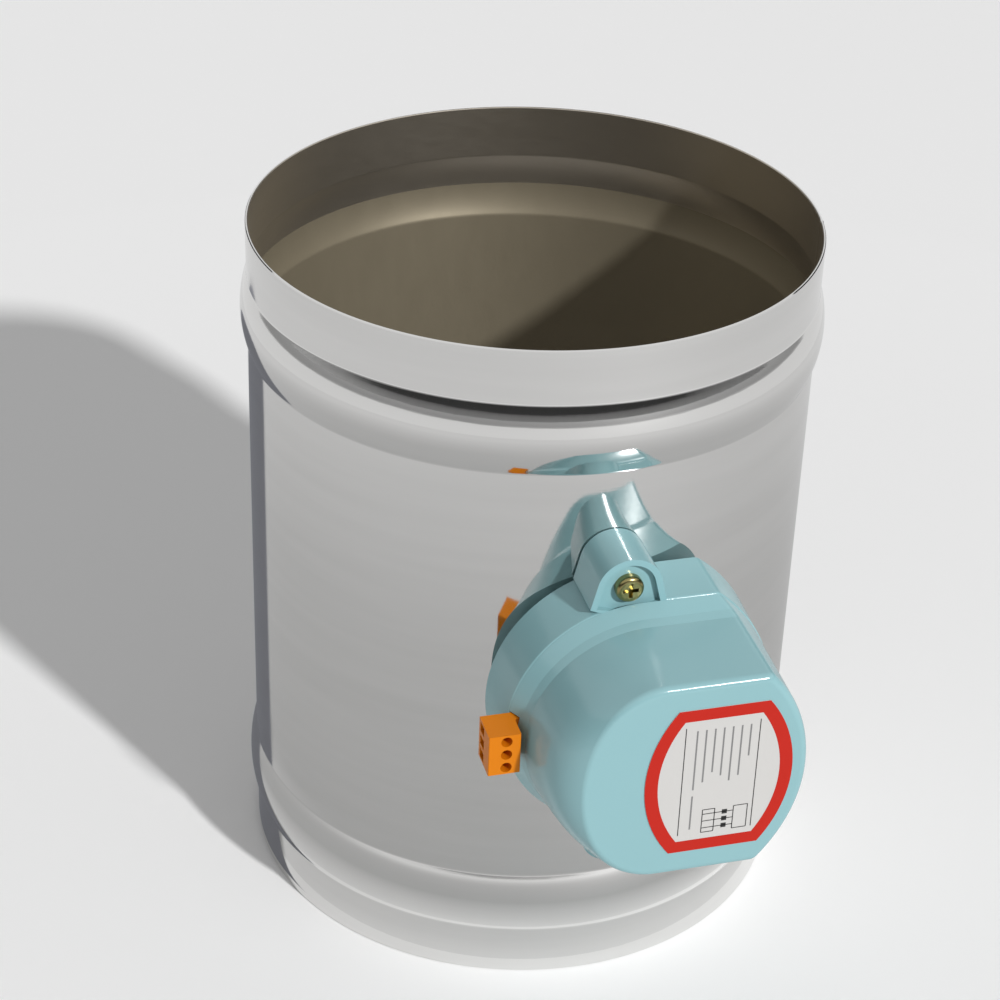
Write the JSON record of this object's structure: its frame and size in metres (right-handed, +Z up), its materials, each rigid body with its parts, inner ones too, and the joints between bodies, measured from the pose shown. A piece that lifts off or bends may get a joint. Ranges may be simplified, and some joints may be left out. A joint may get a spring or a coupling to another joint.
{
  "type": "motorized duct damper",
  "caption": "Round stainless duct section with rolled beads, a butterfly blade on a cross shaft, and a plastic gear-motor actuator with terminal block on its side.",
  "frame": {"origin": "centre of the duct's lower end, on the duct axis", "axes": "+Z up along the duct axis; the blade shaft runs along Y at mid height; the actuator is on the -Y side"},
  "size_m": [0.2048, 0.2641, 0.254],
  "materials": {
    "polished_steel": "mirror polished outside, dull mill finish inside",
    "blade_steel": "dull rolled stainless sheet",
    "shaft_steel": "turned bright steel",
    "nylon": "natural white nylon",
    "seal_rubber": "black extruded rubber",
    "housing_plastic": "glossy light turquoise moulding",
    "yellow_zinc": "yellow passivated zinc plating",
    "bright_zinc": "bright zinc plating",
    "motor_steel": "satin zinc plated sheet",
    "gear_steel": "oiled sintered steel",
    "gear_nylon": "white acetal",
    "switch_black": "black moulding",
    "button_red": "red moulded button",
    "board_green": "green coated board",
    "capacitor_yellow": "yellow potted box",
    "terminal_orange": "glossy orange moulding",
    "terminal_metal": "tinned brass and plated steel",
    "label_film": "white film with a red border"
  },
  "bodies": {
    "duct_and_actuator": {"duct_body": "polished_steel", "front_bush": "nylon", "rear_bush": "nylon", "rivet_nuts": "bright_zinc", "actuator_base": "housing_plastic", "actuator_cover": "housing_plastic", "mounting_screws": "yellow_zinc", "cover_screws": "bright_zinc", "gear_plate": "motor_steel", "gear_motor": "motor_steel", "plate_screws": "bright_zinc", "motor_screws": "bright_zinc", "closed_switch": "switch_black", "open_switch": "switch_black", "circuit_board": "board_green", "board_screws": "bright_zinc", "run_capacitor": "capacitor_yellow", "terminal_block": "terminal_orange", "wire_clamps": "terminal_metal", "terminal_screws": "terminal_metal", "rating_label": "label_film"},
    "blade": {"blade_shaft": "shaft_steel", "shaft_clip": "shaft_steel", "blade_disc": "blade_steel", "blade_seals": "seal_rubber", "blade_screws": "bright_zinc", "output_gear": "gear_nylon"},
    "pinion": {"motor_pinion": "gear_steel"},
    "closed_button": {"closed_plunger": "button_red"},
    "open_button": {"open_plunger": "button_red"}
  },
  "joints": [
    {"name": "blade_turn", "type": "hinge", "parent": "duct_and_actuator", "child": "blade", "pos_m": [0, 0, 0.127], "axis": [0, -1, 0], "range_deg": [0, 90]},
    {"name": "pinion_spin", "type": "hinge", "parent": "duct_and_actuator", "child": "pinion", "pos_m": [0.024, 0, 0.127], "axis": [0, -1, 0], "range_deg": [-181, 1]},
    {"name": "closed_press", "type": "slide", "parent": "duct_and_actuator", "child": "closed_button", "axis": [-0.7071, 0, 0.7071], "range_m": [0, 0.0008], "stiffness_N_per_m": 200, "springref_m": -0.0004},
    {"name": "open_press", "type": "slide", "parent": "duct_and_actuator", "child": "open_button", "axis": [-0.7071, 0, -0.7071], "range_m": [0, 0.0008], "stiffness_N_per_m": 200, "springref_m": -0.0004}
  ],
  "couplings": [
    {"joint": "pinion_spin", "follows": "blade_turn", "ratio": -2}
  ]
}
